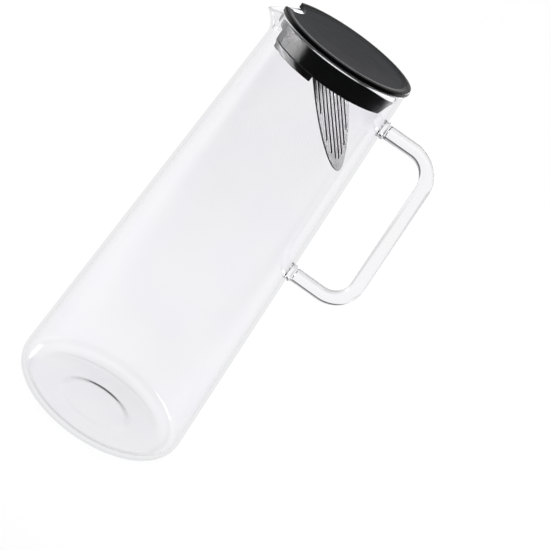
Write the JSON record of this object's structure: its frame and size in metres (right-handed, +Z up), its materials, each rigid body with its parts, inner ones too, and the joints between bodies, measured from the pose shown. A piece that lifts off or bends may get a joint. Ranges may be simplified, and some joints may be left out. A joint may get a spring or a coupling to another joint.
{
  "type": "glass pitcher",
  "caption": "Tall conical clear glass pitcher with a fused rod handle, a pulled spout and a dark lid that turns and lifts off, carrying a sloping slotted strainer.",
  "frame": {"origin": "centre of the base, on the table", "axes": "+Z up along the pitcher's axis, +X towards the handle, -X towards the spout"},
  "size_m": [0.1426, 0.11, 0.2688],
  "materials": {
    "clear_glass": "gloss",
    "matt_black_plastic": "satin",
    "gloss_black_plastic": "gloss",
    "clear_silicone": "satin"
  },
  "bodies": {
    "glass": {"glass_body": "clear_glass", "glass_handle": "clear_glass"},
    "seal": {"seal_ring": "clear_silicone"},
    "lid": {"lid_cover": "matt_black_plastic", "lid_collar": "gloss_black_plastic", "leaf_strainer": "gloss_black_plastic"}
  },
  "joints": [
    {"name": "lid_lift", "type": "slide", "parent": "glass", "child": "seal", "axis": [0, 0, 1], "range_m": [0, 0.075]},
    {"name": "lid_turn", "type": "hinge", "parent": "seal", "child": "lid", "pos_m": [0, 0, 0.2646], "axis": [0, 0, 1], "continuous": true}
  ]
}
